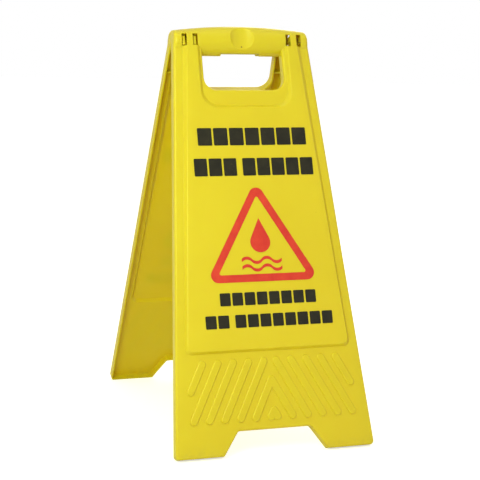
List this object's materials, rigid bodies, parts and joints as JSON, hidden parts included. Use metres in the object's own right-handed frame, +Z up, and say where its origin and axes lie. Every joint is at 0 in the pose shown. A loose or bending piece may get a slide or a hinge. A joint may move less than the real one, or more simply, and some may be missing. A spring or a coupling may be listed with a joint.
{
  "type": "folding floor sign",
  "caption": "Free-standing A-frame floor sign: identical moulded panels snap-hinged at the carrying grip, with foot notches, chevron ribs and plain block artwork.",
  "frame": {"origin": "on the floor, under the hinge axis, midway between the panels", "axes": "+X along the hinge axis, the front face looks towards -Y, +Z up"},
  "size_m": [0.293, 0.4432, 0.5894],
  "materials": {
    "yellow_moulding": "smooth injection-moulded polypropylene, satin",
    "black_ink": "screen-printed ink, satin",
    "red_ink": "screen-printed ink, satin"
  },
  "bodies": {
    "front_half": {"front_panel": "yellow_moulding", "front_upper_blocks": "black_ink", "front_lower_blocks": "black_ink", "front_warning_triangle": "red_ink", "front_drop_symbol": "red_ink"},
    "rear_half": {"rear_panel": "yellow_moulding", "rear_upper_blocks": "black_ink", "rear_lower_blocks": "black_ink", "rear_warning_triangle": "red_ink", "rear_drop_symbol": "red_ink"}
  },
  "joints": [
    {"name": "fold_hinge", "type": "hinge", "parent": "front_half", "child": "rear_half", "pos_m": [0, 0, 0.56704], "axis": [-1, 0, 0], "range_deg": [0, 40]}
  ]
}
